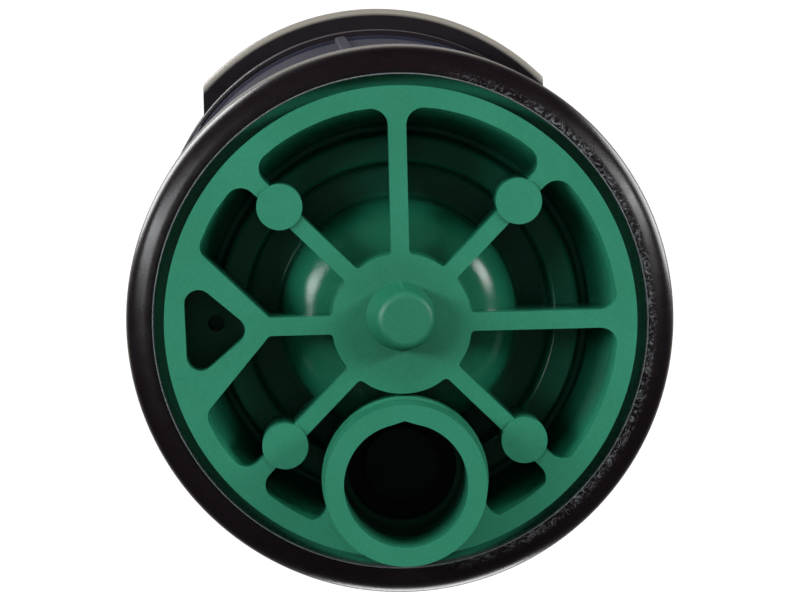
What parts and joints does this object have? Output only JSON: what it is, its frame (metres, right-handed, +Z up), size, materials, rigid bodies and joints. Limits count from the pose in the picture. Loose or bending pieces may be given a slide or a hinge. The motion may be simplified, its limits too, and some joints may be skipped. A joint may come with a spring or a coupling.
{
  "type": "pop-up sprinkler",
  "caption": "Buried pop-up rotor sprinkler: ribbed base with an off-centre pipe spigot, screwed collar, can, eared cap, and a spring-returned riser with a gear-turned nozzle turret.",
  "frame": {"origin": "on the can's axis, in the plane of the inlet spigot's open end, which is the lowest point", "axes": "+Z up along the can and the riser, +Y from the can's axis towards the inlet spigot, +X the way the nozzle points at rest"},
  "size_m": [0.073, 0.0792, 0.2126],
  "materials": {
    "green_base": "fine satin moulding",
    "collar_black": "satin moulding, worn at the edge",
    "can_grey": "fine matte texture",
    "cap_dark": "satin moulding",
    "seal_rubber": "smooth",
    "natural_plastic": "natural acetal",
    "case_plastic": "smooth moulding",
    "spring_steel": "bright drawn wire",
    "steel": "ground",
    "gear_plastic": "acetal",
    "brass": "turned",
    "riser_black": "satin moulding",
    "nozzle_blue": "smooth moulding",
    "cover_rubber": "fine matte texture"
  },
  "bodies": {
    "housing": {"inlet_base": "green_base", "base_collar": "collar_black", "base_seal": "seal_rubber", "body_can": "can_grey", "body_cap": "cap_dark", "cap_gasket": "seal_rubber", "wiper_seal": "seal_rubber", "seal_retainer": "natural_plastic", "retraction_spring": "spring_steel", "valve_cage": "natural_plastic", "valve_spring": "spring_steel"},
    "inlet_valve": {"valve_poppet": "riser_black", "valve_gasket": "seal_rubber"},
    "riser": {"riser_tube": "riser_black", "guide_ring": "natural_plastic", "spring_washer": "natural_plastic", "riser_filter": "natural_plastic", "stator_plate": "natural_plastic", "bypass_spring": "spring_steel", "shaft_bush": "brass", "gear_case": "case_plastic", "case_cover": "case_plastic", "middle_plate": "case_plastic", "pin_centre": "steel", "pin_side": "steel", "output_bush": "brass", "output_seal": "seal_rubber", "bearing_nut": "riser_black", "thrust_washer": "natural_plastic", "neck_seal": "seal_rubber"},
    "bypass": {"bypass_poppet": "natural_plastic"},
    "turbine": {"turbine_shaft": "steel", "turbine_wheel": "gear_plastic", "turbine_pinion": "brass"},
    "gear_1": {"compound_gear_1": "gear_plastic"},
    "gear_2": {"compound_gear_2": "gear_plastic"},
    "gear_3": {"compound_gear_3": "gear_plastic"},
    "turret": {"output_gear": "gear_plastic", "output_shaft": "steel", "drive_sleeve": "natural_plastic", "turret_housing": "riser_black", "nozzle": "nozzle_blue", "top_cover": "cover_rubber"},
    "screw": {"radius_screw": "steel"}
  },
  "joints": [
    {"name": "riser_pop", "type": "slide", "parent": "housing", "child": "riser", "axis": [0, 0, 1], "range_m": [0, 0.1], "stiffness_N_per_m": 250, "springref_m": -0.08, "deforming": ["retraction_spring"]},
    {"name": "valve_lift", "type": "slide", "parent": "housing", "child": "inlet_valve", "axis": [0, 0, 1], "range_m": [0, 0.005], "stiffness_N_per_m": 80, "springref_m": -0.004, "deforming": ["valve_spring"]},
    {"name": "bypass_lift", "type": "slide", "parent": "riser", "child": "bypass", "axis": [0, 0, 1], "range_m": [0, 0.002], "stiffness_N_per_m": 100, "springref_m": -0.002, "deforming": ["bypass_spring"]},
    {"name": "turret_turn", "type": "hinge", "parent": "riser", "child": "turret", "pos_m": [0, 0, 0.165], "axis": [0, 0, 1], "continuous": true},
    {"name": "gear_3_turn", "type": "hinge", "parent": "riser", "child": "gear_3", "pos_m": [0.0084, 0, 0.13], "axis": [0, 0, 1], "continuous": true},
    {"name": "gear_2_turn", "type": "hinge", "parent": "riser", "child": "gear_2", "pos_m": [0, 0, 0.13], "axis": [0, 0, 1], "continuous": true},
    {"name": "gear_1_turn", "type": "hinge", "parent": "riser", "child": "gear_1", "pos_m": [0.0084, 0, 0.12], "axis": [0, 0, 1], "continuous": true},
    {"name": "turbine_turn", "type": "hinge", "parent": "riser", "child": "turbine", "pos_m": [0, 0, 0.11], "axis": [0, 0, 1], "continuous": true},
    {"name": "screw_turn", "type": "hinge", "parent": "turret", "child": "screw", "pos_m": [0.0175, 0, 0.2], "axis": [0, 0, 1], "range_deg": [-720, 720]}
  ],
  "couplings": [
    {"joint": "gear_3_turn", "follows": "turret_turn", "ratio": -2.5},
    {"joint": "gear_2_turn", "follows": "turret_turn", "ratio": 6.25},
    {"joint": "gear_1_turn", "follows": "turret_turn", "ratio": -15.625},
    {"joint": "turbine_turn", "follows": "turret_turn", "ratio": 39.062}
  ]
}
